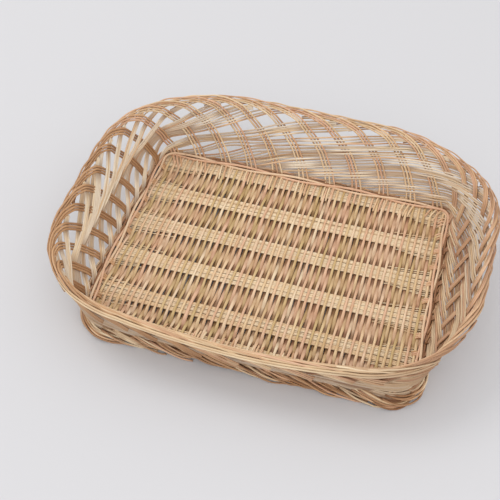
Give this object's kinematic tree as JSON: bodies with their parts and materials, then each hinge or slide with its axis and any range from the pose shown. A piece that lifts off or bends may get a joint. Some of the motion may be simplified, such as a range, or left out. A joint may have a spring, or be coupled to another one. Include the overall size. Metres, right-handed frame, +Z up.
{
  "type": "pet bed basket",
  "caption": "Low woven willow pet bed basket with an open lattice wall, rolled rim, flat woven base and a low front side to step in over.",
  "frame": {"origin": "centre of the rim's outline, on the surface that the basket stands on", "axes": "+X along the long side, +Y towards the high back, +Z up"},
  "size_m": [0.5992, 0.468, 0.1238],
  "materials": {
    "base_rod": "peeled willow, dry matt surface, straw coloured with fine lengthwise grain",
    "base_band": "peeled willow, thin split rods, slightly darker",
    "wall_stake": "peeled willow, light brown rods, dry matt surface",
    "counter_rod": "peeled willow, thin pale rods, dry matt surface",
    "border_rod": "peeled willow, smooth bent rods, slight sheen",
    "edge_rod": "peeled willow, thicker pinkish-brown rods",
    "foot_rod": "peeled willow, rough rods, worn underneath"
  },
  "bodies": {
    "root": {"base_band_1": "base_band", "base_band_2": "base_band", "base_band_3": "base_band", "base_band_4": "base_band", "base_band_5": "base_band", "base_band_6": "base_band", "base_end_wefts_left": "base_band", "base_end_wefts_right": "base_band", "base_rods_even": "base_rod", "base_rods_odd": "base_rod", "border_back": "border_rod", "border_back_left": "border_rod", "border_back_right": "border_rod", "border_front": "border_rod", "border_front_left": "border_rod", "border_front_right": "border_rod", "border_left": "border_rod", "border_right": "border_rod", "counter_rods_back": "counter_rod", "counter_rods_back_left": "counter_rod", "counter_rods_back_right": "counter_rod", "counter_rods_front": "counter_rod", "counter_rods_front_left": "counter_rod", "counter_rods_front_right": "counter_rod", "counter_rods_left": "counter_rod", "counter_rods_right": "counter_rod", "edge_rods_back": "edge_rod", "edge_rods_corners": "edge_rod", "edge_rods_front": "edge_rod", "edge_rods_left": "edge_rod", "edge_rods_right": "edge_rod", "foot_plait_back": "foot_rod", "foot_plait_corners": "foot_rod", "foot_plait_front": "foot_rod", "foot_plait_left": "foot_rod", "foot_plait_right": "foot_rod", "front_roll_rods": "border_rod", "stakes_back": "wall_stake", "stakes_back_left": "wall_stake", "stakes_back_right": "wall_stake", "stakes_front": "wall_stake", "stakes_front_left": "wall_stake", "stakes_front_right": "wall_stake", "stakes_left": "wall_stake", "stakes_right": "wall_stake"}
  },
  "joints": []
}
